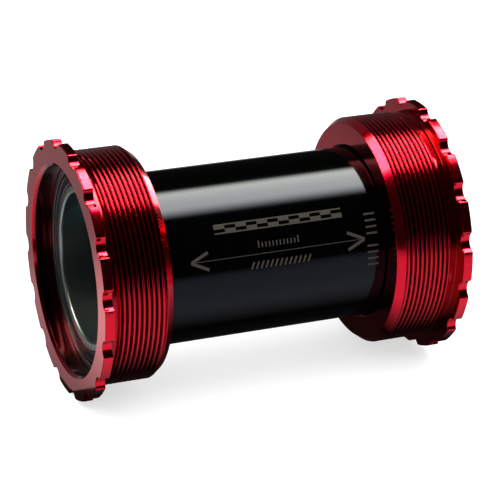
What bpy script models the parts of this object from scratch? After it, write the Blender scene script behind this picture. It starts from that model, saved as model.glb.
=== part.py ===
"""Threaded bottom bracket with two screw-in bearing cups and the sleeve between them.

The crank spindle's axis is X. The left, non-drive cup is at -X and the right, drive-side cup at +X.
The origin is on the axis, midway between the two cups. Lengths are in metres and +Z is up.
Each cup and its bearing share one set of outlines, given as (depth, radius): depth runs along the axis
from the cup's outer face towards the middle of the bottom bracket.
"""

import math

import bmesh
import bpy
from mathutils import Matrix, Vector

MM = 0.001

# Overall layout
CUP_LENGTH = 15.0 * MM
SLEEVE_SHOWING = 47.2 * MM
SLEEVE_ENGAGEMENT = 3.6 * MM
OVERALL_LENGTH = SLEEVE_SHOWING + 2 * CUP_LENGTH

# Cup, with an M47 x 1 thread held as a plain cylinder at its crest diameter
THREAD_RADIUS = 23.5 * MM
THREAD_ROOT_RADIUS = 22.89 * MM
THREAD_START = 4.0 * MM
THREAD_END = 13.55 * MM
FLANGE_RADIUS = 26.1 * MM
FLANGE_THICKNESS = 2.0 * MM
FLANGE_CHAMFER = 0.2 * MM
SHELL_SEAT_RADIUS = 23.6 * MM
SHELL_SEAT_UNDERCUT = 0.15 * MM
END_FACE_RADIUS = 22.4 * MM
MOUTH_RADIUS = 21.65 * MM
SEAT_GAP = 0.1 * MM
SHOULDER_RADIUS = 19.3 * MM
SHOULDER_DEPTH = 0.9 * MM
SLEEVE_HOLE_RADIUS = 18.0 * MM

# Sixteen scallops in the flange's rim for the cup tool. A phase is one notch's angle from +Z towards +Y.
NOTCH_COUNT = 16
NOTCH_RADIUS = 2.13 * MM
NOTCH_CENTRE_RADIUS = 26.85 * MM
LEFT_NOTCH_PHASE = math.radians(6.8)
RIGHT_NOTCH_PHASE = math.radians(9.4)

# Sleeve
SLEEVE_RADIUS = 17.5 * MM
SLEEVE_WALL = 1.0 * MM
SLEEVE_CHAMFER = 0.3 * MM

# O-ring that seals the sleeve in the cup
ORING_SECTION_RADIUS = 0.6 * MM
ORING_RADIUS = 18.2 * MM
ORING_DEPTH = 13.9 * MM
ORING_GROOVE_RADIUS = 19.0 * MM
ORING_GROOVE_WIDTH = 1.4 * MM

# Ball bearing, 30 x 42 x 7
BORE_RADIUS = 15.0 * MM
BEARING_RADIUS = 21.0 * MM
BEARING_WIDTH = 7.0 * MM
BEARING_RECESS = 4.0 * MM
PITCH_RADIUS = 18.0 * MM
BALL_RADIUS = 1.75 * MM
BALL_COUNT = 18
RACE_GAP = 0.1 * MM
OUTER_LAND_RADIUS = 19.6 * MM
INNER_LAND_RADIUS = 16.55 * MM
OUTER_RING_CHAMFER = 0.3 * MM
INNER_RING_CHAMFER = 0.6 * MM

# Seals and ball cage
SEAL_OUTER_RADIUS = 19.4 * MM
SEAL_INNER_RADIUS = 16.8 * MM
SEAL_THICKNESS = 0.5 * MM
SEAL_RECESS = 0.15 * MM
CAGE_INNER_RADIUS = 17.4 * MM
CAGE_OUTER_RADIUS = 18.6 * MM
CAGE_RING_THICKNESS = 0.55 * MM
CAGE_RING_OFFSET = 2.0 * MM
CAGE_PRONG_REACH = 0.6 * MM
CAGE_PRONG_ANGLE = math.radians(7.0)

# Number of straight sides that stand for a full circle
CUP_SIDES = 48
BEARING_SIDES = 36
NOTCH_SIDES = 12
ORING_SECTION_SIDES = 6

BEARING_MIDDLE = BEARING_RECESS + BEARING_WIDTH / 2
FULL_TURN = 2 * math.pi


def clear_scene():
    for obj in list(bpy.data.objects):
        bpy.data.objects.remove(obj, do_unlink=True)


def make_collection(name):
    collection = bpy.data.collections.new(name)
    bpy.context.scene.collection.children.link(collection)
    return collection


def make_material(name, colour, metallic, roughness):
    material = bpy.data.materials.new(name)
    material.use_nodes = True
    shader = material.node_tree.nodes["Principled BSDF"]
    shader.inputs["Base Color"].default_value = (*colour, 1.0)
    shader.inputs["Metallic"].default_value = metallic
    shader.inputs["Roughness"].default_value = roughness
    return material


def add_object(name, mesh, material, collection):
    obj = bpy.data.objects.new(name, mesh)
    if material:
        mesh.materials.clear()
        mesh.materials.append(material)
    collection.objects.link(obj)
    return obj


def turned(name, outline, sides, material, collection):
    """A ring turned about its own Z from a closed outline of (depth, radius) points."""
    area = 0.0
    for (depth_a, radius_a), (depth_b, radius_b) in zip(outline, outline[1:] + outline[:1]):
        area += radius_a * depth_b - radius_b * depth_a
    # The Screw modifier makes an outward surface when the outline runs down its outer side.
    points = outline if area < 0 else outline[::-1]
    mesh = bpy.data.meshes.new(name)
    count = len(points)
    edges = [(index, (index + 1) % count) for index in range(count)]
    mesh.from_pydata([(radius, 0.0, depth) for depth, radius in points], edges, [])
    obj = add_object(name, mesh, material, collection)
    screw = obj.modifiers.new("Turn", "SCREW")
    screw.axis = "Z"
    screw.angle = FULL_TURN
    screw.steps = sides
    screw.render_steps = sides
    screw.use_merge_vertices = True
    screw.merge_threshold = 1e-5
    screw.use_smooth_shade = False
    return obj


def arc(depth, radius, arc_radius, land_radius, steps):
    """Points of a race groove, from the land on one side of the balls to the land on the other."""
    side = 1 if land_radius > radius else -1
    half = math.acos((land_radius - radius) * side / arc_radius)
    points = []
    for step in range(steps + 1):
        angle = -half + 2 * half * step / steps
        offset = arc_radius * math.sin(angle)
        points.append((depth + offset, radius + side * arc_radius * math.cos(angle)))
    return points


def cup_outline():
    seat = BEARING_RADIUS + SEAT_GAP
    seat_end = BEARING_RECESS + BEARING_WIDTH + SEAT_GAP
    step = seat_end + SHOULDER_DEPTH
    groove_start = ORING_DEPTH - ORING_GROOVE_WIDTH / 2
    groove_end = ORING_DEPTH + ORING_GROOVE_WIDTH / 2
    return [
        (CUP_LENGTH, END_FACE_RADIUS),
        (THREAD_END, THREAD_RADIUS),
        (THREAD_START, THREAD_RADIUS),
        (THREAD_START - (THREAD_RADIUS - THREAD_ROOT_RADIUS), THREAD_ROOT_RADIUS),
        (FLANGE_THICKNESS - SHELL_SEAT_UNDERCUT, THREAD_ROOT_RADIUS),
        (FLANGE_THICKNESS, SHELL_SEAT_RADIUS),
        (FLANGE_THICKNESS, FLANGE_RADIUS - FLANGE_CHAMFER),
        (FLANGE_THICKNESS - FLANGE_CHAMFER, FLANGE_RADIUS),
        (FLANGE_CHAMFER, FLANGE_RADIUS),
        (0.0, FLANGE_RADIUS - FLANGE_CHAMFER),
        (0.0, MOUTH_RADIUS),
        (MOUTH_RADIUS - seat, seat),
        (seat_end, seat),
        (seat_end, SHOULDER_RADIUS),
        (step, SHOULDER_RADIUS),
        (step, SLEEVE_HOLE_RADIUS),
        (groove_start, SLEEVE_HOLE_RADIUS),
        (groove_start, ORING_GROOVE_RADIUS),
        (groove_end, ORING_GROOVE_RADIUS),
        (groove_end, SLEEVE_HOLE_RADIUS),
        (CUP_LENGTH, SLEEVE_HOLE_RADIUS),
    ]


def sleeve_outline():
    half = SLEEVE_SHOWING / 2 + SLEEVE_ENGAGEMENT
    outer = SLEEVE_RADIUS
    inner = SLEEVE_RADIUS - SLEEVE_WALL
    chamfer = SLEEVE_CHAMFER
    return [
        (half, outer - chamfer),
        (half - chamfer, outer),
        (chamfer - half, outer),
        (-half, outer - chamfer),
        (-half, inner),
        (half, inner),
    ]


def outer_ring_outline():
    near = BEARING_RECESS
    far = BEARING_RECESS + BEARING_WIDTH
    chamfer = OUTER_RING_CHAMFER
    groove = arc(BEARING_MIDDLE, PITCH_RADIUS, BALL_RADIUS + RACE_GAP, OUTER_LAND_RADIUS, 4)
    return [
        (far, BEARING_RADIUS - chamfer),
        (far - chamfer, BEARING_RADIUS),
        (near + chamfer, BEARING_RADIUS),
        (near, BEARING_RADIUS - chamfer),
        (near, OUTER_LAND_RADIUS),
        *groove,
        (far, OUTER_LAND_RADIUS),
    ]


def inner_ring_outline():
    near = BEARING_RECESS
    far = BEARING_RECESS + BEARING_WIDTH
    chamfer = INNER_RING_CHAMFER
    groove = arc(BEARING_MIDDLE, PITCH_RADIUS, BALL_RADIUS + RACE_GAP, INNER_LAND_RADIUS, 4)
    return [
        (far, INNER_LAND_RADIUS),
        *groove[::-1],
        (near, INNER_LAND_RADIUS),
        (near, BORE_RADIUS + chamfer),
        (near + chamfer, BORE_RADIUS),
        (far - chamfer, BORE_RADIUS),
        (far, BORE_RADIUS + chamfer),
    ]


def seal_outline(near):
    return [
        (near + SEAL_THICKNESS, SEAL_OUTER_RADIUS),
        (near, SEAL_OUTER_RADIUS),
        (near, SEAL_INNER_RADIUS),
        (near + SEAL_THICKNESS, SEAL_INNER_RADIUS),
    ]


def notch_cutter(name, phase, collection):
    """Sixteen pins round the flange's rim, in the cup's own frame, where +X is the notch angle's zero."""
    mesh = bpy.data.meshes.new(name)
    shape = bmesh.new()
    length = 2 * FLANGE_THICKNESS
    for index in range(NOTCH_COUNT):
        turn = Matrix.Rotation(phase + FULL_TURN * index / NOTCH_COUNT, 4, "Z")
        place = turn @ Matrix.Translation(Vector((NOTCH_CENTRE_RADIUS, 0.0, FLANGE_THICKNESS / 2)))
        bmesh.ops.create_cone(
            shape,
            cap_ends=True,
            segments=NOTCH_SIDES,
            radius1=NOTCH_RADIUS,
            radius2=NOTCH_RADIUS,
            depth=length,
            matrix=place,
        )
    shape.to_mesh(mesh)
    shape.free()
    cutter = add_object(name, mesh, None, collection)
    cutter.hide_render = True
    cutter.display_type = "WIRE"
    return cutter


def make_cup(side, phase, material, parts, cutters):
    cup = turned(side + "_cup", cup_outline(), CUP_SIDES, material, parts)
    cutter = notch_cutter(side + "_notch_cutter", phase, cutters)
    cut = cup.modifiers.new("Notches", "BOOLEAN")
    cut.operation = "DIFFERENCE"
    cut.solver = "EXACT"
    cut.object = cutter
    return cup, cutter


def make_cage(name, material, collection):
    """A crown cage: a thin ring with a prong between each pair of balls."""
    mesh = bpy.data.meshes.new(name)
    shape = bmesh.new()
    ring_near = BEARING_MIDDLE + CAGE_RING_OFFSET
    ring_far = ring_near + CAGE_RING_THICKNESS
    corners = (
        (ring_near, CAGE_INNER_RADIUS),
        (ring_near, CAGE_OUTER_RADIUS),
        (ring_far, CAGE_OUTER_RADIUS),
        (ring_far, CAGE_INNER_RADIUS),
    )
    ball_pitch = FULL_TURN / BALL_COUNT
    # Each ball's stretch of the ring starts with the prong's span and ends with the pocket's.
    angles = []
    for index in range(BALL_COUNT):
        middle = (index + 0.5) * ball_pitch
        angles += [middle - CAGE_PRONG_ANGLE / 2, middle + CAGE_PRONG_ANGLE / 2]
    rows = []
    for angle in angles:
        rows.append([
            shape.verts.new((radius * math.cos(angle), radius * math.sin(angle), depth))
            for depth, radius in corners
        ])
    prong_feet = []
    for index, row in enumerate(rows):
        following = rows[(index + 1) % len(rows)]
        for corner in range(4):
            beside = (corner + 1) % 4
            face = shape.faces.new((row[corner], following[corner], following[beside], row[beside]))
            if corner == 0 and index % 2 == 0:
                prong_feet.append(face)
    prongs = bmesh.ops.extrude_discrete_faces(shape, faces=prong_feet)
    reach = CAGE_RING_OFFSET + CAGE_PRONG_REACH
    for face in prongs["faces"]:
        bmesh.ops.translate(shape, verts=face.verts, vec=(0.0, 0.0, -reach))
    bmesh.ops.recalc_face_normals(shape, faces=shape.faces)
    shape.to_mesh(mesh)
    shape.free()
    return add_object(name, mesh, material, collection)


def make_oring(name, material, collection):
    bpy.ops.mesh.primitive_torus_add(
        major_segments=CUP_SIDES,
        minor_segments=ORING_SECTION_SIDES,
        major_radius=ORING_RADIUS,
        minor_radius=ORING_SECTION_RADIUS,
        location=(0.0, 0.0, 0.0),
    )
    oring = bpy.context.object
    oring.name = name
    oring.data.materials.append(material)
    for owner in list(oring.users_collection):
        owner.objects.unlink(oring)
    collection.objects.link(oring)
    return oring


def ball_mesh(material):
    mesh = bpy.data.meshes.new("ball")
    shape = bmesh.new()
    bmesh.ops.create_icosphere(shape, subdivisions=2, radius=BALL_RADIUS)
    shape.to_mesh(mesh)
    shape.free()
    mesh.materials.append(material)
    return mesh


def make_side(side, phase, materials, parts, cutters):
    """One cup with its O-ring and bearing, all placed from the cup's outer face on the spindle axis."""
    sign = -1 if side == "left" else 1
    face = bpy.data.objects.new(side + "_face", None)
    face.empty_display_size = THREAD_RADIUS
    face.location = (sign * OVERALL_LENGTH / 2, 0.0, 0.0)
    # The side's own +Z runs inwards along the axis, and its +X points to world -Z or +Z.
    face.rotation_euler = (0.0, -sign * math.pi / 2, 0.0)
    parts.objects.link(face)

    # On the left side the angles run the other way, from a zero that is half a turn round.
    cup, cutter = make_cup(side, sign * phase, materials["red"], parts, cutters)
    pieces = [cup, cutter]
    pieces.append(turned(
        side + "_bearing_outer_ring", outer_ring_outline(), BEARING_SIDES, materials["steel"], parts))
    pieces.append(turned(
        side + "_bearing_inner_ring", inner_ring_outline(), BEARING_SIDES, materials["steel"], parts))
    outer_seal_depth = BEARING_RECESS + SEAL_RECESS
    inner_seal_depth = BEARING_RECESS + BEARING_WIDTH - SEAL_RECESS - SEAL_THICKNESS
    for name, depth in (("outer_seal", outer_seal_depth), ("inner_seal", inner_seal_depth)):
        pieces.append(turned(
            side + "_bearing_" + name, seal_outline(depth), BEARING_SIDES, materials["rubber"], parts))
    pieces.append(make_cage(side + "_bearing_cage", materials["nylon"], parts))
    for piece in pieces:
        piece.parent = face

    oring = make_oring(side + "_sleeve_oring", materials["rubber"], parts)
    oring.parent = face
    oring.location = (0.0, 0.0, ORING_DEPTH)

    mesh = ball_mesh(materials["ceramic"])
    for index in range(BALL_COUNT):
        angle = FULL_TURN * index / BALL_COUNT
        ball = bpy.data.objects.new(f"{side}_ball_{index + 1:02d}", mesh)
        ball.parent = face
        ball.location = (PITCH_RADIUS * math.cos(angle), PITCH_RADIUS * math.sin(angle), BEARING_MIDDLE)
        parts.objects.link(ball)


def main():
    clear_scene()
    parts = make_collection("bottom_bracket")
    cutters = make_collection("bottom_bracket_cutters")
    materials = {
        "red": make_material("red_anodised_aluminium", (0.45, 0.004, 0.02), 1.0, 0.3),
        "black": make_material("black_anodised_aluminium", (0.012, 0.014, 0.016), 0.4, 0.25),
        "steel": make_material("bearing_steel", (0.55, 0.56, 0.56), 1.0, 0.2),
        "rubber": make_material("black_nitrile_rubber", (0.015, 0.015, 0.016), 0.0, 0.45),
        "nylon": make_material("glass_filled_nylon", (0.62, 0.55, 0.42), 0.0, 0.5),
        "ceramic": make_material("silicon_nitride", (0.05, 0.05, 0.055), 0.0, 0.15),
    }
    sleeve = turned("centre_sleeve", sleeve_outline(), CUP_SIDES, materials["black"], parts)
    sleeve.rotation_euler = (0.0, math.pi / 2, 0.0)
    make_side("left", LEFT_NOTCH_PHASE, materials, parts, cutters)
    make_side("right", RIGHT_NOTCH_PHASE, materials, parts, cutters)
    bpy.context.view_layer.update()


main()
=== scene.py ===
import math
from functools import partial

import bmesh
import bpy
import numpy as np
from bpy.props import FloatProperty, FloatVectorProperty, IntProperty, PointerProperty
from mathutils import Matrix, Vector


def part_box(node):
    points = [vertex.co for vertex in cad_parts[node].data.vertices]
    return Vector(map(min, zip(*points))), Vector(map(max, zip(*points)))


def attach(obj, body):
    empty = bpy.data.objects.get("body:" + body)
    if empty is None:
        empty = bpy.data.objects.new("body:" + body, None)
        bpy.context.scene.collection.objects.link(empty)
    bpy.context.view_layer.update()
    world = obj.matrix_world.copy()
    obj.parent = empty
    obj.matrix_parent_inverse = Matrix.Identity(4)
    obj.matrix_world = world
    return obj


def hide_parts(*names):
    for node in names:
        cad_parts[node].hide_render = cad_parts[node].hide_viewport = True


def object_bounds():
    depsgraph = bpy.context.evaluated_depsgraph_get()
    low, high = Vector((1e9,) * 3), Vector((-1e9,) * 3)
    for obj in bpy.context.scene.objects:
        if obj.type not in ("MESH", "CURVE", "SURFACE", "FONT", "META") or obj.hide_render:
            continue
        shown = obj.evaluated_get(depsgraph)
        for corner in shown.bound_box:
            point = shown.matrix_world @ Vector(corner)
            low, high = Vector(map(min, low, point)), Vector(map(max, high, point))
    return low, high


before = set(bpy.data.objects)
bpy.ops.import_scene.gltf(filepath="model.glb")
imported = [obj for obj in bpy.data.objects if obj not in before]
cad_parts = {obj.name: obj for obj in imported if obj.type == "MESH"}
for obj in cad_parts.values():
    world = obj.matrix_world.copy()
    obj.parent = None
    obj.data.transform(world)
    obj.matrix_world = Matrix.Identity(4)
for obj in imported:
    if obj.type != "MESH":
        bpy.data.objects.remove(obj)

bl_info = {
    "name": "Bottom bracket",
    "version": (1, 0, 0),
    "blender": (4, 5, 0),
    "location": "3D View > Sidebar > Bracket",
    "description": "Threaded bottom bracket: notched cups, bearings and a centre sleeve",
    "category": "Object",
}

MM = 0.001
TURN = 2 * math.pi
WELD = 2e-6
FACE_MIDDLE = 24.2 * MM  # where the flange's round faces meet its notched rim
SIDES = ("left", "right")
MATH, MIX, BUMP = "ShaderNodeMath", "ShaderNodeMix", "ShaderNodeBump"
NOISE, RANGE = "ShaderNodeTexNoise", "ShaderNodeMapRange"

CAD_BOX = LOW, HIGH = [list(corner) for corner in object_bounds()]
HALF_LENGTH = HIGH[0]
FLANGE_RADIUS = HIGH[2]
FLOOR_HEIGHT = LOW[2]
CUP_LENGTH = HALF_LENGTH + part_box("left_cup")[1].x
SLEEVE_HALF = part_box("centre_sleeve")[1].x
SLEEVE_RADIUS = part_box("centre_sleeve")[1].z
BEARING_NEAR = HALF_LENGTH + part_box("left_bearing_outer_ring")[0].x
BEARING_FAR = HALF_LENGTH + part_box("left_bearing_outer_ring")[1].x
BEARING_MIDDLE = (BEARING_NEAR + BEARING_FAR) / 2
ORING_DEPTH = HALF_LENGTH + sum(c.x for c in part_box("left_sleeve_oring")) / 2


# Sizes and colours ------------

def linear(code, alpha=1.0):
    """Linear colour of an sRGB hex code."""
    values = [int(code[i:i + 2], 16) / 255 for i in (0, 2, 4)]
    spread = [v / 12.92 if v <= 0.04045 else ((v + 0.055) / 1.055) ** 2.4 for v in values]
    return (*spread, alpha)


def length(name, description, millimetres):
    return FloatProperty(
        name=name, description=description, default=millimetres * MM, unit="LENGTH", precision=5
    )


def angle(name, description, degrees):
    return FloatProperty(
        name=name, description=description, default=math.radians(degrees), unit="ROTATION"
    )


def amount(name, description, value):
    return FloatProperty(name=name, description=description, default=value)


def colour(name, description, code):
    return FloatVectorProperty(
        name=name, description=description, default=linear(code), size=4, subtype="COLOR"
    )


class CupSettings(bpy.types.PropertyGroup):
    pitch: length("Thread pitch", "Axial step of one turn of the thread", 1.0)
    crest: length("Crest radius", "Radius over the thread", 23.5)
    root: length("Root radius", "Radius at the bottom of the thread", 22.89)
    neck_end: length("Neck end", "Depth at which the thread starts to rise from the neck", 3.39)
    thread_end: length("Thread end", "Depth at which the thread closes into the lead-in cone", 13.5)
    end_radius: length("End face radius", "Radius of the flat inner end face", 22.4)
    flange: length("Flange thickness", "Thickness of the notched flange", 2.0)
    mouth: length("Mouth radius", "Radius at the outer edge of the mouth's chamfer", 21.65)
    seat: length("Seat radius", "Radius of the bore round the bearing", 21.02)
    shoulder: length("Shoulder radius", "Radius of the step behind the bearing", 19.3)
    hole: length("Hole radius", "Radius of the hole for the sleeve", 18.0)
    groove: length("O-ring groove radius", "Radius at the bottom of the groove", 19.0)
    notches: IntProperty(name="Notches", description="Notches round the flange", default=16)
    notch_radius: length("Notch radius", "Radius of one scallop", 2.13)
    notch_centre: length("Notch centre radius", "Radius on which the scallops are centred", 26.85)
    notch_corner: length("Notch corner", "Rounding between a scallop and the rim", 0.35)
    edge: length("Flange edge", "Rounding along the flange's edges", 0.16)
    left_phase: angle("Left notch angle", "Angle of a notch from +Y towards +Z", 15.7)
    right_phase: angle("Right notch angle", "Angle of a notch from +Y towards +Z", 13.1)
    dye: colour("Dye", "Red of the anodised metal", "D20026")


class SleeveSettings(bpy.types.PropertyGroup):
    wall: length("Wall", "Thickness of the tube's wall", 1.0)
    end_edge: length("End edge", "Rounding at the tube's ends", 0.25)
    oring_half: length("O-ring half width", "Half of the squeezed O-ring's width", 0.62)
    film: colour("Film", "Black of the anodic film", "010101")


class BearingSettings(bpy.types.PropertyGroup):
    bore: length("Bore radius", "Radius of the hole for the spindle", 15.0)
    outer: length("Outer radius", "Outer radius of the outer ring", 21.0)
    outer_land: length("Outer land", "Inner radius of the outer ring", 19.6)
    inner_land: length("Inner land", "Outer radius of the inner ring", 16.55)
    pitch_radius: length("Ball circle", "Radius on which the balls run", 18.0)
    ball: length("Ball radius", "Radius of a ball", 1.75)
    race: length("Race radius", "Radius of the groove a ball runs in", 1.8)
    balls: IntProperty(name="Balls", description="Balls in one bearing", default=18)
    seal_outer: length("Seal outer radius", "Outer radius of a seal", 19.4)
    seal_inner: length("Seal inner radius", "Radius of a seal's lip", 16.8)
    seal_recess: length("Seal recess", "How far a seal lies behind the rings' faces", 0.15)
    cage_inner: length("Cage inner radius", "Inner radius of the ball cage", 17.4)
    cage_outer: length("Cage outer radius", "Outer radius of the ball cage", 18.6)
    steel: colour("Steel", "Colour of the ground steel", "868E8C")
    rubber: colour("Rubber", "Colour of the seals", "0B0C0D")


class MarkSettings(bpy.types.PropertyGroup):
    height: length("Mark height", "How far a mark stands proud of the tube", 0.012)
    stroke: length("Stroke", "Width of the arrowheads' strokes", 0.62)
    oxide: colour("Oxide", "Grey-brown of the etched film", "36322D")


class StageSettings(bpy.types.PropertyGroup):
    overhead: amount("Overhead strip", "Radiance of the strip softbox above", 27.0)
    front: amount("Front card", "Radiance of the white table in front", 1.0)
    rear: amount("Rear card", "Radiance of the table behind", 0.3)
    left: amount("Left card", "Radiance of the table beside the left cup", 1.0)
    room: amount("Room", "Radiance of the dim room", 0.015)
    fill: amount("Floor light", "Power of the light that whitens the floor", 60.0)
    snoot: amount("Bore snoot", "Power of the snooted lamp that looks into the bore", 40.0)
    floor: colour("Floor", "Colour of the floor", "C4C4C4")
    glow: amount("Floor glow", "Radiance of the light table from below", 1.1)


class BracketSettings(bpy.types.PropertyGroup):
    cup: PointerProperty(type=CupSettings)
    sleeve: PointerProperty(type=SleeveSettings)
    bearing: PointerProperty(type=BearingSettings)
    marks: PointerProperty(type=MarkSettings)
    stage: PointerProperty(type=StageSettings)


# Nodes ------------

def add_node(tree, kind, sockets=(), **settings):
    """Adds a node, sets it up and feeds its sockets, in order or by name, from values or from
    other nodes' outputs."""
    node = tree.nodes.new(kind)
    for name, value in settings.items():
        setattr(node, name, value)
    for socket, value in sockets.items() if isinstance(sockets, dict) else enumerate(sockets):
        if isinstance(value, bpy.types.Node):
            value = value.outputs[0]
        if isinstance(value, bpy.types.NodeSocket):
            tree.links.new(value, node.inputs[socket])
        else:
            node.inputs[socket].default_value = value
    return node


def new_material(name):
    """An empty material, what adds nodes to it, and the places on its piece."""
    material = bpy.data.materials.new(name)
    material.use_nodes = True
    material.node_tree.nodes.clear()
    add = partial(add_node, material.node_tree)
    return material, add, add("ShaderNodeTexCoord").outputs["Object"]


def finish_material(add, sockets):
    shader = add("ShaderNodeBsdfPrincipled", sockets)
    add("ShaderNodeOutputMaterial", {"Surface": shader})


def lathe_coordinates(add, place):
    """A place's distance along the spindle, its radius, and the sum of those two."""
    x, y, z = add("ShaderNodeSeparateXYZ", [place]).outputs
    flat = add("ShaderNodeCombineXYZ", {"Y": y, "Z": z})
    radius = add("ShaderNodeVectorMath", [flat], operation="LENGTH").outputs["Value"]
    return x, radius, add(MATH, (x, radius), operation="ADD")


def red_anodised(cup):
    """Turned and red-anodised aluminium: mirror-like colour under a clear oxide, with fine rings
    from the lathe that soften the highlights along the cut."""
    material, add, place = new_material("turned_red_anodised_aluminium")
    along, radius, total = lathe_coordinates(add, place)
    # The real feed is about 0.08 mm; rings are drawn 0.2 mm apart so that they show.
    feed = {"W": total, "Scale": 1 / (0.2 * MM), "Roughness": 0.6}
    rings = add(NOISE, feed, noise_dimensions="1D")
    # The dye bath leaves clouds some 6 mm across.
    cloud = add(NOISE, {"Vector": place, "Scale": 1 / (6 * MM), "Detail": 3.0})
    rough = add(MATH, (
        add(RANGE, (rings, 0.0, 1.0, -0.03, 0.03)), add(RANGE, (cloud, 0.0, 1.0, 0.12, 0.18)),
    ), operation="ADD")
    dye = list(cup.dye)
    deeper = [v * 0.86 for v in dye[:3]] + [1.0]
    shade = add(MIX, {0: cloud, 6: dye, 7: deeper}, data_type="RGBA").outputs[2]

    # Painted shade: the colour is darkened in the thread's roots, on the bore's wall and in the
    # neck, where shade falls. Each span runs from where its share is none to where it is whole.
    depth = add(MATH, [along], operation="ABSOLUTE")
    depth = add(MATH, (HALF_LENGTH, depth), operation="SUBTRACT")
    painted_shade = add("ShaderNodeAttribute", attribute_name="groove").outputs["Fac"]
    for most, spans in (
        (0.85, (
            (radius, cup.mouth, cup.mouth - 0.6 * MM),
            (depth, 7.5 * MM, 7 * MM),
        )),
        (0.6, (
            (radius, cup.root + 0.5 * MM, cup.root + 0.05 * MM),
            (depth, cup.flange - 0.1 * MM, cup.flange + 0.1 * MM),
            (depth, cup.neck_end + 0.5 * MM, cup.neck_end),
        )),
    ):
        share = most
        for span in spans:
            share = add(MATH, (add(RANGE, span), share), operation="MULTIPLY")
        painted_shade = add(MATH, (painted_shade, share), operation="MAXIMUM")
    # The painted shade mixes the dye towards a near-black red.
    dye_with_painted_shade = add(MIX, {0: painted_shade, 6: shade, 7: linear("300008")}, data_type="RGBA").outputs[2]
    finish_material(add, {
        "Base Color": dye_with_painted_shade,
        "Metallic": 1.0,
        "Roughness": rough,
        "Coat Weight": 0.28,
        "Coat Roughness": 0.04,
        "Normal": add(BUMP, {"Strength": 0.3, "Distance": 0.001 * MM, "Height": rings}),
    })
    return material


def black_anodised(sleeve):
    """Drawn aluminium tube under a hard black anodic film: glossy and near black, with faint
    lines along the tube and a fine grain in the film, which is thin and matt within the bore."""
    material, add, place = new_material("drawn_black_anodised_tube")
    radius = lathe_coordinates(add, place)[1]
    wall = SLEEVE_RADIUS - sleeve.wall
    within = add(RANGE, (radius, wall + 0.1 * MM, wall))
    stretch = add("ShaderNodeMapping", {"Vector": place, "Scale": (0.02, 1.0, 1.0)})
    # Drawing lines are a few hundredths of a millimetre apart; drawn 0.3 mm apart so that they
    # show. The film's grain, under 0.05 mm, is drawn at 0.25 mm so that it shows.
    lines = add(NOISE, {"Vector": stretch, "Scale": 1 / (0.3 * MM)})
    grain = add(NOISE, {"Vector": place, "Scale": 1 / (0.25 * MM)})
    pattern = add(MATH, (lines, grain), operation="MULTIPLY")
    bare = {0: grain, 6: linear("0A1316"), 7: linear("2B3F46")}
    bare = add(MIX, bare, data_type="RGBA").outputs[2]
    shade = add(MIX, {0: within, 6: list(sleeve.film), 7: bare}, data_type="RGBA").outputs[2]
    gloss = add(RANGE, (pattern, 0.0, 1.0, 0.06, 0.14))
    finish_material(add, {
        "Base Color": shade,
        "Roughness": add(MATH, (within, 0.35, gloss), operation="MULTIPLY_ADD"),
        "Specular IOR Level": 0.17,
        "Specular Tint": (0.68, 0.73, 1.0, 1.0),
        "Normal": add(BUMP, {"Strength": 0.12, "Distance": 0.0006 * MM, "Height": pattern}),
    })
    return material


def ground_steel(bearing):
    """Ground and polished bearing steel: bright, with hair-fine rings from the wheel."""
    material, add, place = new_material("ground_bearing_steel")
    total = lathe_coordinates(add, place)[2]
    # Grinding lines are microns apart; drawn 0.12 mm apart so that they show.
    feed = {"W": total, "Scale": 1 / (0.12 * MM), "Roughness": 0.6}
    rings = add(NOISE, feed, noise_dimensions="1D")
    finish_material(add, {
        "Base Color": list(bearing.steel),
        "Metallic": 1.0,
        "Roughness": add(RANGE, (rings, 0.0, 1.0, 0.25, 0.4)),
        "Normal": add(BUMP, {"Strength": 0.15, "Distance": 0.0005 * MM, "Height": rings}),
    })
    return material


def seal_rubber(bearing):
    """Moulded nitrile rubber: near black with a soft sheen and a faint moulded grain."""
    material, add, place = new_material("moulded_nitrile_rubber")
    # The mould's spark-eroded grain is about 0.15 mm.
    grain = add(NOISE, {"Vector": place, "Scale": 1 / (0.15 * MM)})
    finish_material(add, {
        "Base Color": list(bearing.rubber),
        "Roughness": add(RANGE, (grain, 0.0, 1.0, 0.14, 0.26)),
        "Specular IOR Level": 0.25,
        "Normal": add(BUMP, {"Strength": 0.15, "Distance": 0.002 * MM, "Height": grain}),
    })
    return material


def cage_nylon():
    """Moulded glass-filled nylon: off-white, with short glass fibres as pale flecks."""
    material, add, place = new_material("moulded_glass_filled_nylon")
    stretch = add("ShaderNodeMapping", {"Vector": place, "Scale": (0.3, 1.0, 1.0)})
    # Fibres are 0.01 mm across; flecks are drawn 0.1 mm across so that they show.
    flecks = add("ShaderNodeTexVoronoi", {"Vector": stretch, "Scale": 1 / (0.1 * MM)})
    shade = {0: flecks, 6: linear("E4DFCF"), 7: linear("CFC8B2")}
    finish_material(add, {
        "Base Color": add(MIX, shade, data_type="RGBA").outputs[2],
        "Roughness": add(RANGE, (flecks, 0.0, 1.0, 0.4, 0.6)),
        "IOR": 1.53,
    })
    return material


def ball_ceramic():
    """Lapped silicon nitride: charcoal and mirror smooth, with faint clouds from sintering."""
    material, add, place = new_material("lapped_silicon_nitride")
    # Sintering leaves clouds a fraction of a millimetre across.
    cloud = add(NOISE, {"Vector": place, "Scale": 1 / (0.8 * MM), "Detail": 4.0})
    shade = {0: cloud, 6: linear("2B2C2F"), 7: linear("3A3B3E")}
    finish_material(add, {
        "Base Color": add(MIX, shade, data_type="RGBA").outputs[2],
        "Roughness": add(RANGE, (cloud, 0.0, 1.0, 0.03, 0.08)),
        "IOR": 2.0,
    })
    return material


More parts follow.
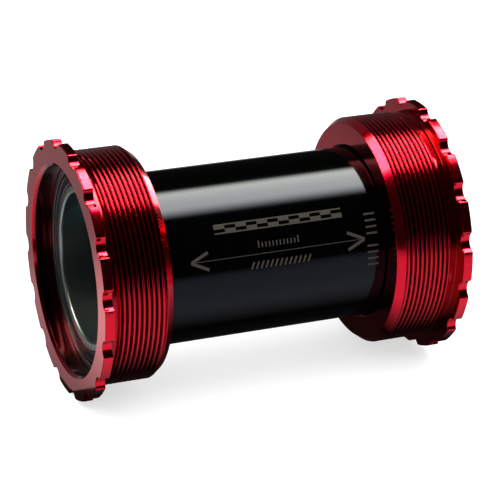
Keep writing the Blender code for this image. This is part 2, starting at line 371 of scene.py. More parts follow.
def etched_mark(marks):
    """Laser-etched film: the black is bleached to a matt grey-brown, a little uneven where the
    beam's lines overlap."""
    material, add, place = new_material("laser_etched_film")
    # The beam's lines are 0.05 mm apart; the unevenness is drawn at 0.2 mm so that it shows.
    lines = add(NOISE, {"Vector": place, "Scale": 1 / (0.2 * MM)})
    oxide = list(marks.oxide)
    shade = {0: lines, 6: oxide, 7: [v * 0.7 for v in oxide[:3]] + [1.0]}
    finish_material(add, {
        "Base Color": add(MIX, shade, data_type="RGBA").outputs[2],
        "Roughness": add(RANGE, (lines, 0.0, 1.0, 0.55, 0.8)),
        "Specular IOR Level": 0.15,
    })
    return material


def plain_floor(stage):
    """Opal acrylic of a light table: pale, lit from below, with a barely visible mottle."""
    material, add, place = new_material("moulded_opal_acrylic")
    # The mottle is a hand's breadth across, 1/12 of a metre.
    mottle = add(NOISE, {"Vector": place, "Scale": 12.0})
    floor = list(stage.floor)
    shade = {0: mottle, 6: floor, 7: [v * 0.99 for v in floor[:3]] + [1.0]}
    shade = add(MIX, shade, data_type="RGBA").outputs[2]
    finish_material(add, {
        "Base Color": shade,
        "Roughness": 0.9,
        "Specular IOR Level": 0.0,
        "Emission Color": shade,
        "Emission Strength": stage.glow,
    })
    return material


# Meshes ------------

def rounded(corners, steps=3):
    """A closed outline with its corners rounded. A corner is (depth, radius, rounding)."""
    points = []
    count = len(corners)
    for index, corner in enumerate(corners):
        here = np.array(corner[:2])
        back = np.array(corners[index - 1][:2]) - here
        ahead = np.array(corners[(index + 1) % count][:2]) - here
        room = 0.45 * min(np.hypot(*back), np.hypot(*ahead))
        back = back / np.hypot(*back)
        ahead = ahead / np.hypot(*ahead)
        if corner[2] == 0:
            points.append(here)
            continue
        half = math.acos(max(-1.0, min(1.0, float(back @ ahead)))) / 2
        reach = min(corner[2] / math.tan(half), room)
        hold = min(reach * 1.6, reach + 0.1 * MM, room * 1.08)
        points.append(here + back * hold)
        for step in range(steps + 1):
            part = step / steps
            points.append(here + back * reach * (1 - part) ** 2 + ahead * reach * part ** 2)
        points.append(here + ahead * hold)
    return points


def ring_points(depth, radius, angles):
    """One ring of points round the spindle axis."""
    return np.column_stack([
        np.full(len(angles), depth), radius * np.cos(angles), radius * np.sin(angles)
    ])


def sew(rings, closed):
    """Faces between rings of equal count, as (points, faces)."""
    count = len(rings[0])
    points = np.concatenate(rings)
    row = np.arange(count)
    after = (row + 1) % count
    faces = []
    for index in range(len(rings) if closed else len(rings) - 1):
        near = index * count
        far = ((index + 1) % len(rings)) * count
        faces.append(np.column_stack([near + row, near + after, far + after, far + row]))
    return points, np.concatenate(faces)


def make_mesh(name, points, faces):
    mesh = bpy.data.meshes.new(name)
    mesh.from_pydata([tuple(p) for p in points], [], [tuple(int(i) for i in f) for f in faces])
    piece = bpy.data.objects.new(name, mesh)
    bpy.context.scene.collection.objects.link(piece)
    return piece


def turned(name, outline, stations):
    """A piece turned round the spindle axis from a closed outline of (depth, radius)."""
    angles = np.arange(stations) * TURN / stations
    return make_mesh(name, *sew([ring_points(d, r, angles) for d, r in outline], True))


def settle(piece, side, smooth=32.0):
    """Puts a piece from its side's own frame (depth from the outer face) into its place, welds
    it, turns its faces outwards and shades it smooth between sharp edges."""
    shape = bmesh.new()
    shape.from_mesh(piece.data)
    loose = [vertex for vertex in shape.verts if not vertex.link_faces]
    bmesh.ops.delete(shape, geom=loose, context="VERTS")
    for vertex in shape.verts:
        if side == "left":
            vertex.co.x -= HALF_LENGTH
        elif side == "right":
            vertex.co.x = HALF_LENGTH - vertex.co.x
    bmesh.ops.remove_doubles(shape, verts=shape.verts, dist=WELD)
    bmesh.ops.recalc_face_normals(shape, faces=shape.faces)
    shape.to_mesh(piece.data)
    shape.free()
    piece.data.shade_smooth()
    piece.data.set_sharp_from_angle(angle=math.radians(smooth))
    return piece


def dress(piece, material, body, slot, *nodes):
    """Gives a finished piece its material and its body, and hides the solids it stands for. The
    slot is not used.
    """
    piece.data.materials.clear()
    piece.data.materials.append(material)
    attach(piece, body)
    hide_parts(*nodes)


def run_tree(piece, tree, values):
    """Runs a Geometry Nodes tree on a piece with its named inputs, and keeps the plain mesh."""
    modifier = piece.modifiers.new(tree.name, "NODES")
    modifier.node_group = tree
    for item in tree.interface.items_tree:
        if item.in_out == "INPUT" and item.name in values:
            modifier[item.identifier] = values[item.name]
    bpy.context.view_layer.update()
    graph = bpy.context.evaluated_depsgraph_get()
    mesh = bpy.data.meshes.new_from_object(piece.evaluated_get(graph))
    piece.modifiers.remove(modifier)
    piece.data = mesh
    return piece


def new_tree(name, inputs):
    """A Geometry Nodes tree, what adds nodes to it, and the sockets of its inputs."""
    tree = bpy.data.node_groups.new(name, "GeometryNodeTree")
    tree.interface.new_socket("Geometry", in_out="INPUT", socket_type="NodeSocketGeometry")
    for label, kind in inputs:
        tree.interface.new_socket(label, in_out="INPUT", socket_type="NodeSocket" + kind)
    tree.interface.new_socket("Geometry", in_out="OUTPUT", socket_type="NodeSocketGeometry")
    add = partial(add_node, tree)
    return tree, add, add("NodeGroupInput").outputs


def close_tree(add, geometry, material):
    real = add("GeometryNodeRealizeInstances", [geometry])
    welded = add("GeometryNodeMergeByDistance", {"Geometry": real, "Distance": WELD})
    painted = add("GeometryNodeSetMaterial", {"Geometry": welded, "Material": material})
    add("NodeGroupOutput", [painted])


def thread_tree():
    """Cuts a helical thread into a plain band: a point's radius follows from how far it lies
    along the helix, with the groove rising out of the neck and closing at the lead-in cone."""
    tree, add, given = new_tree("Cut thread", (
        ("Pitch", "Float"), ("Crest radius", "Float"), ("Root radius", "Float"),
        ("Band start", "Float"), ("Neck end", "Float"), ("Thread end", "Float"),
        ("Material", "Material"),
    ))
    pitch, crest, root = given["Pitch"], given["Crest radius"], given["Root radius"]
    neck_end, thread_end = given["Neck end"], given["Thread end"]
    x, y, z = add("ShaderNodeSeparateXYZ", [add("GeometryNodeInputPosition")]).outputs
    radians = add(MATH, (z, y), operation="ARCTAN2")
    turns = add(MATH, (radians, TURN), operation="DIVIDE")
    along = add(MATH, (x, given["Band start"]), operation="SUBTRACT")
    along = add(MATH, (along, pitch), operation="DIVIDE")
    phase = add(MATH, (along, turns), operation="SUBTRACT")
    phase = add(MATH, [phase], operation="FRACT")
    # The groove's root is a sharp line at half a pitch, and the crest is rounded.
    away = add(MATH, (phase, 0.5), operation="SUBTRACT")
    away = add(MATH, [away], operation="ABSOLUTE")
    rise = add(MATH, (away, math.pi), operation="MULTIPLY")
    rise = add(MATH, [rise], operation="SINE")
    # Shares of the groove that have opened past the neck and closed before the cone.
    full = add(MATH, (pitch, 0.6, neck_end), operation="MULTIPLY_ADD")
    grown = add(RANGE, (x, neck_end, full), interpolation_type="SMOOTHSTEP")
    closing = add(MATH, (pitch, -0.4, thread_end), operation="MULTIPLY_ADD")
    closed = add(RANGE, (x, closing, thread_end), interpolation_type="SMOOTHSTEP")
    share = add(MATH, (rise, grown), operation="MULTIPLY")
    rest = add(MATH, (1.0, share), operation="SUBTRACT")
    share = add(MATH, (closed, rest, share), operation="MULTIPLY_ADD")
    height = add(MATH, (crest, root), operation="SUBTRACT")
    radius = add(MATH, (share, height, root), operation="MULTIPLY_ADD")
    across, up = (
        add(MATH, (radius, add(MATH, [radians], operation=part)), operation="MULTIPLY")
        for part in ("COSINE", "SINE")
    )
    band = add("GeometryNodeInputNamedAttribute", {"Name": "band"}, data_type="BOOLEAN")
    shaped = add("GeometryNodeSetPosition", {
        "Geometry": given["Geometry"], "Selection": band,
        "Position": add("ShaderNodeCombineXYZ", (x, across, up)),
    })
    # How far down the groove a point lies, stored for the red to paint shade into the thread's
    # roots.
    root_shade = add(MATH, (rise, rise), operation="MULTIPLY")
    root_shade = add(MATH, (1.0, root_shade), operation="SUBTRACT")
    open_part = add(MATH, (grown, closed), operation="SUBTRACT")
    marked = add("GeometryNodeStoreNamedAttribute", {
        "Geometry": shaped, "Selection": band, "Name": "groove",
        "Value": add(MATH, (root_shade, open_part), operation="MULTIPLY"),
    }, data_type="FLOAT", domain="POINT")
    close_tree(add, marked, given["Material"])
    return tree


def ring_tree():
    """Sets copies of one piece round the spindle axis and joins those that touch."""
    tree, add, given = new_tree(
        "Copies round the axis", (("Count", "Int"), ("Material", "Material"))
    )
    step = add(MATH, (TURN, given["Count"]), operation="DIVIDE")
    turn = add(MATH, (add("GeometryNodeInputIndex"), step), operation="MULTIPLY")
    copies = add("GeometryNodeInstanceOnPoints", {
        "Points": add("GeometryNodePoints", {"Count": given["Count"]}),
        "Instance": given["Geometry"],
        "Rotation": add("ShaderNodeCombineXYZ", [turn]),
    })
    close_tree(add, copies, given["Material"])
    return tree


def wrap_tree():
    """Wraps flat marks round a tube: X stays along the tube, Y becomes the way round it from the
    front upwards, and Z the height over its surface."""
    tree, add, given = new_tree(
        "Wrap round tube", (("Tube radius", "Float"), ("Material", "Material"))
    )
    fine = add("GeometryNodeSubdivideMesh", {"Mesh": given["Geometry"], "Level": 2})
    x, y, z = add("ShaderNodeSeparateXYZ", [add("GeometryNodeInputPosition")]).outputs
    turn = add(MATH, (y, given["Tube radius"]), operation="DIVIDE")
    radius = add(MATH, (z, given["Tube radius"]), operation="ADD")
    across, up = (
        add(MATH, (radius, add(MATH, [turn], operation=part)), operation="MULTIPLY")
        for part in ("COSINE", "SINE")
    )
    front = add(MATH, (across, -1.0), operation="MULTIPLY")
    moved = add("ShaderNodeCombineXYZ", (x, front, up))
    wrapped = add("GeometryNodeSetPosition", {"Geometry": fine, "Position": moved})
    close_tree(add, wrapped, given["Material"])
    return tree


def shared(name, make, *values):
    """A material or tree by name, made once."""
    found = bpy.data.materials.get(name) or bpy.data.node_groups.get(name)
    return found or make(*values)


# Cups ------------

def rim_points(cup, phase):
    """The notched rim as points (y, z) with their outward directions. Each notch is a scallop
    with rounded corners, and the arc of the rim runs between them."""
    rim, scallop, centre = FLANGE_RADIUS, cup.notch_radius, cup.notch_centre
    corner = cup.notch_corner
    inner, reach = rim - corner, scallop + corner
    corner_angle = math.acos((inner ** 2 + centre ** 2 - reach ** 2) / (2 * inner * centre))
    half_pitch = math.pi / cup.notches

    def towards(a):
        return np.array([math.cos(a), math.sin(a)])

    middle, corner_place = np.array([centre, 0.0]), inner * towards(corner_angle)
    across, up = corner_place - middle
    open_angle, start = math.atan2(up, -across), math.atan2(-up, -across)
    # Half of one notch, from the middle of the scallop out to the middle of the tip.
    half = []
    for step in range(6):
        outward = towards(-open_angle * step / 6)
        half.append((middle - scallop * outward, outward))
    for step in range(4):
        outward = towards(start + (corner_angle - start) * step / 4)
        half.append((corner_place + corner * outward, outward))
    for step in range(4):
        outward = towards(corner_angle + (half_pitch - corner_angle) * step / 3)
        half.append((rim * outward, outward))
    other = [(p * (1, -1), o * (1, -1)) for p, o in half[1:-1]]
    notch = other[::-1] + half
    places, outwards = [], []
    for number in range(cup.notches):
        ahead = towards(phase + number * TURN / cup.notches)
        turn = np.column_stack([ahead, (-ahead[1], ahead[0])])
        places += [turn @ p for p, _ in notch]
        outwards += [turn @ o for _, o in notch]
    return np.array(places), np.array(outwards)


def cup_inside(cup, thread_end):
    """The cup's outline from the thread's end round the inner end, through the bore and out to
    the flange's outer face."""
    step = BEARING_FAR + 0.1 * MM
    hole_start = step + 0.9 * MM
    groove_half = 0.7 * MM
    fine, edge, lead = 0.06 * MM, 0.12 * MM, 0.05 * MM
    slope = (cup.crest - cup.end_radius) / (CUP_LENGTH - thread_end)
    return rounded([
        (thread_end + lead, cup.crest - lead * slope, 0),
        (CUP_LENGTH, cup.end_radius, edge),
        (CUP_LENGTH, cup.hole, edge),
        (ORING_DEPTH + groove_half, cup.hole, fine),
        (ORING_DEPTH + groove_half, cup.groove, fine),
        (ORING_DEPTH - groove_half, cup.groove, fine),
        (ORING_DEPTH - groove_half, cup.hole, fine),
        (hole_start, cup.hole, edge),
        (hole_start, cup.shoulder, fine),
        (step, cup.shoulder, fine),
        (step, cup.seat, fine),
        (cup.mouth - cup.seat, cup.seat, fine),
        (0.0, cup.mouth, fine),
        (0.0, FACE_MIDDLE, 0),
    ])


def make_cup(side, settings):
    cup = settings.cup
    phase = (cup.left_phase if side == "left" else cup.right_phase) % (TURN / cup.notches)
    places, outwards = rim_points(cup, phase - TURN / cup.notches)
    angles = np.unwrap(np.arctan2(places[:, 1], places[:, 0]))
    thread_end, pitch = cup.thread_end, cup.pitch
    band_start = cup.neck_end - 0.1 * MM
    rings = [ring_points(thread_end, cup.crest, angles)]
    rings += [ring_points(d, r, angles) for d, r in cup_inside(cup, thread_end)]
    # The notched rim: an edge rounded at each face, with a plain band between.
    edge, thick = cup.edge, cup.flange
    hold = edge + 0.08 * MM
    quarter = [math.pi / 2 * part / 3 for part in range(4)]
    for depth, inset in (
        (0.0, hold),
        *((edge * (1 - math.cos(a)), edge * (1 - math.sin(a))) for a in quarter),
        (hold, 0.0), (thick - hold, 0.0),
        *((thick - edge * (1 - math.sin(a)), edge * (1 - math.cos(a))) for a in quarter),
        (thick, hold),
    ):
        rim = places - outwards * inset
        rings.append(np.column_stack([np.full(len(rim), depth), rim]))
    fillet = 0.15 * MM
    for depth, radius in (
        (thick, FACE_MIDDLE), (thick, cup.root + 2 * fillet), (thick, cup.root + fillet),
        (thick + 0.3 * fillet, cup.root + 0.3 * fillet), (thick + fillet, cup.root),
        (thick + 2 * fillet, cup.root), (band_start - fillet, cup.root), (band_start, cup.root),
    ):
        rings.append(ring_points(depth, radius, angles))
    points, faces = sew(rings, False)

    # The band to be threaded is laid out along the helix.
    rows_per_turn = 12
    rows = math.ceil(rows_per_turn * ((thread_end - band_start) / pitch + 2.1))
    turns = angles / TURN
    count = len(angles)
    band = []
    for row in range(rows + 1):
        depth = band_start - pitch + (row / rows_per_turn + turns) * pitch
        band.append(ring_points(np.clip(depth, band_start, thread_end), cup.crest, angles))
    base = len(points)
    index = base + np.arange((rows + 1) * count).reshape(rows + 1, count)
    inside = np.stack([index[:-1, :-1], index[:-1, 1:], index[1:, 1:], index[1:, :-1]], axis=-1)
    step = rows_per_turn
    seam = np.stack([
        index[:-1 - step, -1], index[step:-1, 0], index[step + 1:, 0], index[1:-step, -1]
    ], axis=-1)
    band_faces = np.concatenate([inside.reshape(-1, 4), seam.reshape(-1, 4)])
    points = np.concatenate([points, *band])
    depths = points[:, 0][band_faces]
    band_faces = band_faces[np.ptp(depths, axis=1) > 0]
    piece = make_mesh(side + "_cup_turned", points, np.concatenate([faces, band_faces]))
    mask = piece.data.attributes.new("band", "BOOLEAN", "POINT")
    mask.data.foreach_set("value", np.arange(len(points)) >= base)
    material = shared("turned_red_anodised_aluminium", red_anodised, cup)
    run_tree(piece, shared("Cut thread", thread_tree), {
        "Pitch": pitch, "Crest radius": cup.crest, "Root radius": cup.root,
        "Band start": band_start, "Neck end": cup.neck_end, "Thread end": thread_end,
        "Material": material,
    })
    piece.data.attributes.remove(piece.data.attributes["band"])
    settle(piece, side)
    dress(piece, material, side + "_cup", "red_anodised", side + "_cup")


# Bearings ------------

def race(bearing, land, outwards):
    """The groove that the balls run in, as corners from the outer side of the bearing inwards."""
    drop = abs(land - bearing.pitch_radius)
    wide = math.acos(drop / bearing.race)
    sign = 1 if outwards else -1
    turns = [-wide + 2 * wide * step / 12 for step in range(13)]
    return [(
        BEARING_MIDDLE + bearing.race * math.sin(a),
        bearing.pitch_radius + sign * bearing.race * math.cos(a),
        0,
    ) for a in turns]


def outer_ring_outline(bearing):
    edge = 0.08 * MM
    return rounded([
        (BEARING_FAR, bearing.outer, 0.3 * MM),
        (BEARING_NEAR, bearing.outer, 0.3 * MM),
        (BEARING_NEAR, bearing.outer_land, edge),
        *race(bearing, bearing.outer_land, True),
        (BEARING_FAR, bearing.outer_land, edge),
    ])


def inner_ring_outline(bearing):
    edge = 0.08 * MM
    return rounded([
        (BEARING_NEAR, bearing.bore, 0.6 * MM),
        (BEARING_NEAR, bearing.inner_land, edge),
        *race(bearing, bearing.inner_land, False),
        (BEARING_FAR, bearing.inner_land, edge),
        (BEARING_FAR, bearing.bore, 0.6 * MM),
    ], steps=5)


def seal_outline(bearing, face, inwards):
    """A seal's section: a bead at its rim, a shallow channel, and a lip with a raised edge.
    inwards is 1 where the bearing lies at a greater depth than the seal's face, else -1."""
    outer, inner = bearing.seal_outer, bearing.seal_inner
    shape = (
        (0.06, outer, 0.08), (0.0, outer - 0.25 * MM, 0.06), (0.0, outer - 0.5 * MM, 0.06),
        (0.16, outer - 0.62 * MM, 0.08), (0.16, inner + 0.95 * MM, 0.1),
        (0.02, inner + 0.75 * MM, 0.08), (0.02, inner + 0.4 * MM, 0.08),
        (0.12, inner + 0.25 * MM, 0.05), (0.12, inner, 0.06),
        (0.5, inner, 0.08), (0.5, outer, 0.08),
    )
    return rounded([(face + inwards * d * MM, r, e * MM) for d, r, e in shape])


def cage_segment(bearing, name):
    """One ball's share of a crown cage: half a prong on each side of the ball's pocket."""
    pocket = bearing.ball + 0.15 * MM
    half_pitch = math.pi / bearing.balls
    radius = bearing.pitch_radius
    tip = BEARING_MIDDLE - 0.6 * MM
    top = BEARING_MIDDLE + 2.55 * MM
    lip = math.asin(0.6 * MM / pocket)
    side = [(half_pitch, tip), (half_pitch * 0.8, tip)]
    for step in range(9):
        a = -lip + (math.pi / 2 + lip) * step / 8
        side.append((pocket * math.cos(a) / radius, BEARING_MIDDLE + pocket * math.sin(a)))
    curve = side + [(-a, d) for a, d in side[-2::-1]]
    count = len(curve)
    points, faces = [], []
    for number, (a, depth) in enumerate(curve):
        level = half_pitch * (1 - 2 * number / (count - 1))
        for angle_here, depth_here, r in (
            (a, depth, bearing.cage_inner), (a, depth, bearing.cage_outer),
            (level, top, bearing.cage_outer), (level, top, bearing.cage_inner),
        ):
            points.append((depth_here, r * math.cos(angle_here), r * math.sin(angle_here)))
    for number in range(count - 1):
        near, far = 4 * number, 4 * number + 4
        for corner in range(4):
            beside = (corner + 1) % 4
            faces.append((near + corner, near + beside, far + beside, far + corner))
    return make_mesh(name, points, faces)


def one_ball(bearing, name):
    piece = make_mesh(name, (), ())
    shape = bmesh.new()
    bmesh.ops.create_icosphere(shape, subdivisions=3, radius=bearing.ball)
    bmesh.ops.translate(shape, verts=shape.verts, vec=(BEARING_MIDDLE, bearing.pitch_radius, 0.0))
    shape.to_mesh(piece.data)
    shape.free()
    return piece


# Marks ------------

def bar(points, faces, corners, height):
    """A flat-topped mark over four corners (along, round), in millimetres."""
    base = len(points)
    for level in (-height, height):
        points += [(x * MM, v * MM, level) for x, v in corners]
    faces.append((base, base + 3, base + 2, base + 1))
    faces.append((base + 4, base + 5, base + 6, base + 7))
    for corner in range(4):
        beside = (corner + 1) % 4
        faces.append((base + corner, base + beside, base + beside + 4, base + corner + 4))


def box_corners(low, high):
    return [(low[0], low[1]), (high[0], low[1]), (high[0], high[1]), (low[0], high[1])]


def stroke_corners(start, end, width):
    ahead = np.array(end) - np.array(start)
    across = np.array([-ahead[1], ahead[0]]) / np.hypot(*ahead) * width / 2
    sides = (start, -1), (end, -1), (end, 1), (start, 1)
    return [tuple(np.array(place) + side * across) for place, side in sides]


def mark_corners(marks):
    """Every mark on the tube: a chequered scale bar, a row of ticks, a double-ended arrow, a
    hatched strip and a stack of bars at the cup's end."""
    shapes = []
    # Scale bar of twelve cells between two rails, filled by turns above and below.
    left, right, foot, head, rail = -12.25, 14.85, 9.6, 11.6, 0.3
    cells = 12
    cell = (right - left) / cells
    shapes.append(box_corners((left, foot), (right, foot + rail)))
    shapes.append(box_corners((left, head - rail), (right, head)))
    middle = (foot + head) / 2
    for number in range(cells):
        start = left + number * cell
        low, high = (foot + rail, middle) if number % 2 else (middle, head - rail)
        shapes.append(box_corners((start, low), (start + cell, high)))
    # Ticks, with a longer one at each end.
    ticks = 12
    for number in range(ticks):
        x = -3.6 + 8.4 * number / (ticks - 1)
        high = 7.35 if number in (0, ticks - 1) else 6.95
        shapes.append(box_corners((x - 0.13, 5.95), (x + 0.13, high)))
    # Double-ended arrow.
    width = marks.stroke / MM
    for tip, back in ((-17.9, -14.3), (18.95, 15.3)):
        for end in (2.95, 6.4):
            shapes.append(stroke_corners((tip, 4.7), (back, end), width))
    shapes.append(box_corners((-16.9, 4.66), (17.9, 4.78)))
    # Hatched strip.
    bars = 13
    for number in range(bars):
        x = -5.2 + 12.0 * number / (bars - 1)
        shapes.append(stroke_corners((x - 0.25, 1.85), (x + 0.35, 3.25), 0.36))
    # Stack of bars beside the cup.
    for v in (-0.7, 0.6, 1.9, 3.2, 5.7, 7.0, 8.3, 9.6):
        shapes.append(box_corners((19.5, v - 0.2), (21.85, v + 0.2)))
    return shapes


# Stage ------------

def flat(x, y, z):
    """Corners of a level rectangle between two values of x and of y, facing up."""
    return [(x[0], y[0], z), (x[1], y[0], z), (x[1], y[1], z), (x[0], y[1], z)]


def upright(start, end, z):
    """Corners of an upright rectangle over the line from start to end, between two heights."""
    return [(*start, z[0]), (*end, z[0]), (*end, z[1]), (*start, z[1])]


def card(name, corners, strength, fades=(), tint="FFFFFF"):
    """A glowing card that only reflections see. Each fade is (axis, from, to, low, high): the
    glow goes smoothly from low to high times its strength along the axis."""
    piece = make_mesh(name, corners, [(0, 1, 2, 3)])
    material, add, place = new_material(name + "_glow")
    axes = add("ShaderNodeSeparateXYZ", [place]).outputs
    level = strength
    for axis, *span in fades:
        fade = add(RANGE, (axes[axis], *span), interpolation_type="SMOOTHSTEP")
        level = add(MATH, (fade, level), operation="MULTIPLY")
    glow = add("ShaderNodeEmission", {"Color": linear(tint), "Strength": level})
    add("ShaderNodeOutputMaterial", {"Surface": glow})
    piece.data.materials.append(material)
    for kind in ("camera", "diffuse", "transmission", "volume_scatter", "shadow"):
        setattr(piece, "visible_" + kind, False)


def lamp(name, kind, place, power, **settings):
    """A lamp that no reflection shows."""
    data = bpy.data.lights.new(name, kind)
    data.energy = power
    for setting, value in settings.items():
        setattr(data, setting, value)
    light = bpy.data.objects.new(name, data)
    light.location = place
    light.visible_glossy = False
    bpy.context.scene.collection.objects.link(light)
    return light


# Operators ------------

class BRACKET_OT_sleeve(bpy.types.Operator):
    """Makes the black centre sleeve"""
    bl_idname = "bracket.sleeve"
    bl_label = "Centre sleeve"

    def execute(self, context):
        sleeve = context.scene.bracket.sleeve
        inner = SLEEVE_RADIUS - sleeve.wall
        outline = rounded([
            (x, r, sleeve.end_edge)
            for x, r in (
                (-SLEEVE_HALF, SLEEVE_RADIUS), (-SLEEVE_HALF, inner),
                (SLEEVE_HALF, inner), (SLEEVE_HALF, SLEEVE_RADIUS),
            )
        ])
        piece = settle(turned("centre_sleeve_drawn", outline, 256), None)
        material = shared("drawn_black_anodised_tube", black_anodised, sleeve)
        dress(piece, material, "sleeve", "black_anodised", "centre_sleeve")
        return {"FINISHED"}


class BRACKET_OT_marks(bpy.types.Operator):
    """Makes the etched marks on the sleeve"""
    bl_idname = "bracket.marks"
    bl_label = "Sleeve marks"

    def execute(self, context):
        marks = context.scene.bracket.marks
        points, faces = [], []
        for corners in mark_corners(marks):
            bar(points, faces, corners, marks.height)
        piece = make_mesh("sleeve_marks", points, faces)
        material = shared("laser_etched_film", etched_mark, marks)
        run_tree(piece, shared("Wrap round tube", wrap_tree), {
            "Tube radius": SLEEVE_RADIUS, "Material": material
        })
        settle(piece, None)
        dress(piece, material, "sleeve", "black_anodised")
        return {"FINISHED"}


class BRACKET_OT_cups(bpy.types.Operator):
    """Makes the two threaded cups with their notched flanges"""
    bl_idname = "bracket.cups"
    bl_label = "Cups"

    def execute(self, context):
        for side in SIDES:
            make_cup(side, context.scene.bracket)
        return {"FINISHED"}


class BRACKET_OT_rings(bpy.types.Operator):
    """Makes the bearings' outer and inner rings"""
    bl_idname = "bracket.rings"
    bl_label = "Bearing rings"

    def execute(self, context):
        bearing = context.scene.bracket.bearing
        material = shared("ground_bearing_steel", ground_steel, bearing)
        for side in SIDES:
            for name, outline, body in (
                ("outer", outer_ring_outline, "_cup"), ("inner", inner_ring_outline, "_inner_ring"),
            ):
                ring = settle(turned(f"{side}_{name}_ring_ground", outline(bearing), 192), side)
                dress(ring, material, side + body, "bearing_steel", f"{side}_bearing_{name}_ring")
        return {"FINISHED"}


class BRACKET_OT_seals(bpy.types.Operator):
    """Makes the bearings' outer and inner seals and the O-rings on the sleeve"""
    bl_idname = "bracket.seals"
    bl_label = "Seals and O-rings"

    def execute(self, context):
        bearing, sleeve = context.scene.bracket.bearing, context.scene.bracket.sleeve
        material = shared("moulded_nitrile_rubber", seal_rubber, bearing)
        recess = bearing.seal_recess
        tube, groove = SLEEVE_RADIUS + 0.01 * MM, context.scene.bracket.cup.groove - 0.01 * MM
        middle, half = (tube + groove) / 2, (groove - tube) / 2
        section = [
            (ORING_DEPTH + sleeve.oring_half * math.cos(a), middle + half * math.sin(a))
            for a in (TURN * step / 24 for step in range(24))
        ]
        for side in SIDES:
            for name, face, inwards in (
                ("outer", BEARING_NEAR + recess, 1), ("inner", BEARING_FAR - recess, -1),
            ):
                outline = seal_outline(bearing, face, inwards)
                seal = settle(turned(f"{side}_{name}_seal_moulded", outline, 192), side)
                node = f"{side}_bearing_{name}_seal"
                dress(seal, material, side + "_cup", "seal_rubber", node)
            oring = settle(turned(side + "_oring_moulded", section, 160), side)
            dress(oring, material, side + "_oring", "seal_rubber", side + "_sleeve_oring")
        return {"FINISHED"}


class BRACKET_OT_balls(bpy.types.Operator):
    """Makes the bearings' balls and their crown cages"""
    bl_idname = "bracket.balls"
    bl_label = "Balls and cages"

    def execute(self, context):
        bearing = context.scene.bracket.bearing
        tree = shared("Copies round the axis", ring_tree)
        ceramic = shared("lapped_silicon_nitride", ball_ceramic)
        nylon = shared("moulded_glass_filled_nylon", cage_nylon)
        for side in SIDES:
            balls = one_ball(bearing, side + "_balls_lapped")
            run_tree(balls, tree, {"Count": bearing.balls, "Material": ceramic})
            nodes = [f"{side}_ball_{number:02d}" for number in range(1, bearing.balls + 1)]
            dress(settle(balls, side, 60.0), ceramic, side + "_ball_set", "ball_ceramic", *nodes)
            cage = cage_segment(bearing, side + "_cage_moulded")
            run_tree(cage, tree, {"Count": bearing.balls, "Material": nylon})
            node = side + "_bearing_cage"
            dress(settle(cage, side, 40.0), nylon, side + "_ball_set", "cage_nylon", node)
        return {"FINISHED"}


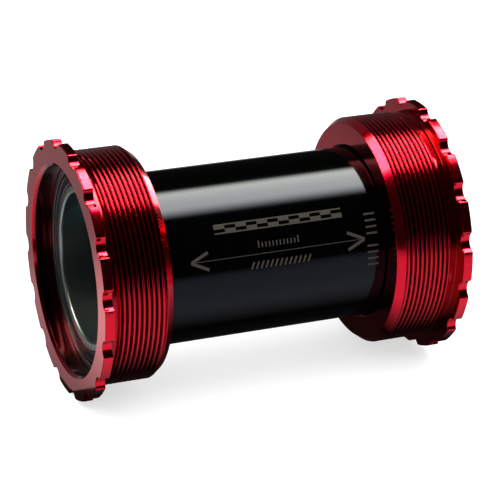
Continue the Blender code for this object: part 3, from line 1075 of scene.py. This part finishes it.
class BRACKET_OT_stage(bpy.types.Operator):
    """Makes the floor, the cards, the lights and the camera"""
    bl_idname = "bracket.stage"
    bl_label = "Stage"

    def execute(self, context):
        stage = context.scene.bracket.stage
        floor_z = FLOOR_HEIGHT - 0.02 * MM
        # The floor turns up into walls, so that low views have no horizon.
        reach, corners = 3.0, []
        for z in (floor_z, reach):
            corners += flat((-reach, reach), (-reach, reach), z)
        walls = [(i, i + 4, (i + 1) % 4 + 4, (i + 1) % 4) for i in range(4)]
        floor = make_mesh("floor", corners, [(0, 1, 2, 3), *walls])
        floor.data.materials.append(plain_floor(stage))
        floor.visible_glossy = False

        # Glowing cards for the white table in front, behind and beside the left cup. Their glow is
        # dimmer near the cups as a painted shadow of the bracket on the table, and dimmer further
        # out.
        level, flange = floor_z + 0.01 * MM, -HALF_LENGTH - 1.0 * MM
        card("front_card", flat((-0.6, 0.6), (-0.6, -0.012), level), stage.front,
             [(1, -0.25, -0.07, 0.03, 1.05), (1, -0.035, -0.012, 1.0, 0.0)])
        card("rear_card", flat((flange, 0.6), (0.02, 1.0), level), stage.rear,
             [(1, 0.02, 0.08, 0.3, 1.0)])
        card("left_card", flat((-0.4, flange), (0.0, 0.4), level), stage.left,
             [(0, -0.058, flange, 1.0, 0.3), (1, 0.03, 0.09, 1.0, 0.3)])
        # Dim sides of the room, and a bright card on the right.
        card("camera_side_card", upright((-2.6, -1.2), (0.3, -1.2), (0.25, 1.8)), 0.03)
        card("back_card", upright((-2.5, 1.4), (0.25, 1.4), (0.0, 1.4)), 0.15)
        card("right_card", upright((0.93, 0.367), (0.73, 0.68), (0.14, 0.4)), 8.0)
        # Softboxes overhead, faded at their ends.
        height, warm = 0.6, "FFFFE6"
        card("left_box", flat((-0.55, -0.28), (-0.12, 0.5), height), 18.0,
             [(1, -0.12, -0.02, 0.0, 1.0), (1, 0.3, 0.5, 1.0, 0.0)], warm)
        card("overhead_strip", flat((0.12, 0.34), (-0.24, 0.31), height), stage.overhead,
             [(1, -0.24, -0.05, 0.0, 1.0), (1, 0.17, 0.31, 1.0, 0.0)], warm)

        light = lamp("floor_light", "AREA", (0.0, 0.0, 1.2), stage.fill,
                     shape="RECTANGLE", size=3.0, size_y=3.0)
        light.visible_camera = False
        light = lamp("bore_snoot", "SPOT", (-0.36, -0.29, 0.22), stage.snoot,
                     spot_size=math.radians(4.5), spot_blend=0.2, shadow_soft_size=0.012)
        aim = Vector((-0.027, 0.013, -0.004)) - light.location
        light.rotation_euler = aim.to_track_quat("-Z", "Y").to_euler()

        world = bpy.data.worlds.new("Room")
        context.scene.world = world
        world.use_nodes = True
        world.node_tree.nodes.clear()
        room = add_node(world.node_tree, "ShaderNodeBackground", (linear("FFFFFF"), stage.room))
        add_node(world.node_tree, "ShaderNodeOutputWorld", [room])
        context.scene.view_settings.view_transform = "Standard"

        lens = bpy.data.cameras.new("Camera")
        lens.lens, lens.sensor_width, lens.clip_start = 162.58, 36.0, 0.01
        camera = bpy.data.objects.new("Camera", lens)
        camera.location = (-0.15944, -0.39942, 0.16237)
        camera.rotation_euler = (math.radians(90 - 20.8), 0.0, math.radians(-21.9))
        context.scene.collection.objects.link(camera)
        context.scene.camera = camera
        return {"FINISHED"}


OPERATORS = (
    BRACKET_OT_sleeve, BRACKET_OT_marks, BRACKET_OT_cups, BRACKET_OT_rings,
    BRACKET_OT_seals, BRACKET_OT_balls, BRACKET_OT_stage,
)


class BRACKET_PT_pieces(bpy.types.Panel):
    """Lists what makes each piece of the bracket"""
    bl_idname = "BRACKET_PT_pieces"
    bl_label = "Bottom bracket"
    bl_space_type = "VIEW_3D"
    bl_region_type = "UI"
    bl_category = "Bracket"

    def draw(self, context):
        for operator in OPERATORS:
            self.layout.operator(operator.bl_idname)
        settings = context.scene.bracket
        for part in ("cup", "sleeve", "bearing", "marks", "stage"):
            box = self.layout.box()
            group = getattr(settings, part)
            box.label(text=part.capitalize())
            for name in group.__annotations__:
                box.prop(group, name)


CLASSES = (
    CupSettings, SleeveSettings, BearingSettings, MarkSettings, StageSettings, BracketSettings,
    *OPERATORS, BRACKET_PT_pieces,
)


def register():
    for entry in CLASSES:
        bpy.utils.register_class(entry)
    bpy.types.Scene.bracket = PointerProperty(type=BracketSettings)


def unregister():
    del bpy.types.Scene.bracket
    for entry in reversed(CLASSES):
        bpy.utils.unregister_class(entry)


def main():
    register()
    for operator in OPERATORS:
        group, name = operator.bl_idname.split(".")
        getattr(getattr(bpy.ops, group), name)()


if __name__ == "__main__":
    main()
